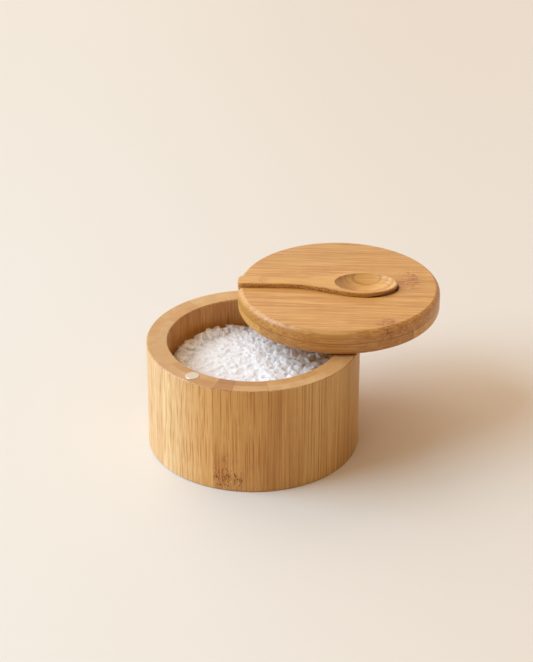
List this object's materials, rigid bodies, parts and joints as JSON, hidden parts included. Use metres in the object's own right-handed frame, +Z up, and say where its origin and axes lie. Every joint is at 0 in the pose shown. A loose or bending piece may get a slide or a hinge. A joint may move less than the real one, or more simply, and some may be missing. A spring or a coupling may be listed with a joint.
{
  "type": "salt box",
  "caption": "Small round bamboo salt box with a lid that swivels aside on an upright pin, a magnet catch in the rim, and a spoon nested in the lid.",
  "frame": {"origin": "centre of the box's flat underside", "axes": "+Z up; +Y from the box's axis towards the hinge pin in the rim; +X towards the side where the open lid stands out"},
  "size_m": [0.126, 0.1146, 0.0612],
  "materials": {
    "stave_bamboo": "satin",
    "floor_bamboo": "satin",
    "lid_bamboo": "satin",
    "spoon_bamboo": "satin",
    "salt": "matte",
    "magnet": "satin",
    "pin_steel": "satin",
    "washer_nylon": "satin"
  },
  "bodies": {
    "base": {"stave_01": "stave_bamboo", "stave_02": "stave_bamboo", "stave_03": "stave_bamboo", "stave_04": "stave_bamboo", "stave_05": "stave_bamboo", "stave_06": "stave_bamboo", "stave_07": "stave_bamboo", "stave_08": "stave_bamboo", "stave_09": "stave_bamboo", "stave_10": "stave_bamboo", "stave_11": "stave_bamboo", "stave_12": "stave_bamboo", "base_floor": "floor_bamboo", "salt_fill": "salt", "catch_magnet": "magnet", "hinge_pin": "pin_steel", "hinge_washer": "washer_nylon"},
    "lid": {"lid_top_strip_1": "lid_bamboo", "lid_top_strip_2": "lid_bamboo", "lid_top_strip_3": "lid_bamboo", "lid_top_strip_4": "lid_bamboo", "lid_bottom_strip_1": "lid_bamboo", "lid_bottom_strip_2": "lid_bamboo", "lid_bottom_strip_3": "lid_bamboo", "lid_bottom_strip_4": "lid_bamboo", "lid_magnet": "magnet"},
    "spoon": {"spoon": "spoon_bamboo"}
  },
  "joints": [
    {"name": "lid_swivel", "type": "hinge", "parent": "base", "child": "lid", "pos_m": [0, 0.04, 0.0484], "axis": [0, 0, 1], "continuous": true},
    {"name": "spoon_lift", "type": "slide", "parent": "lid", "child": "spoon", "axis": [0, 0, 1], "range_m": [0, 0.06]}
  ]
}
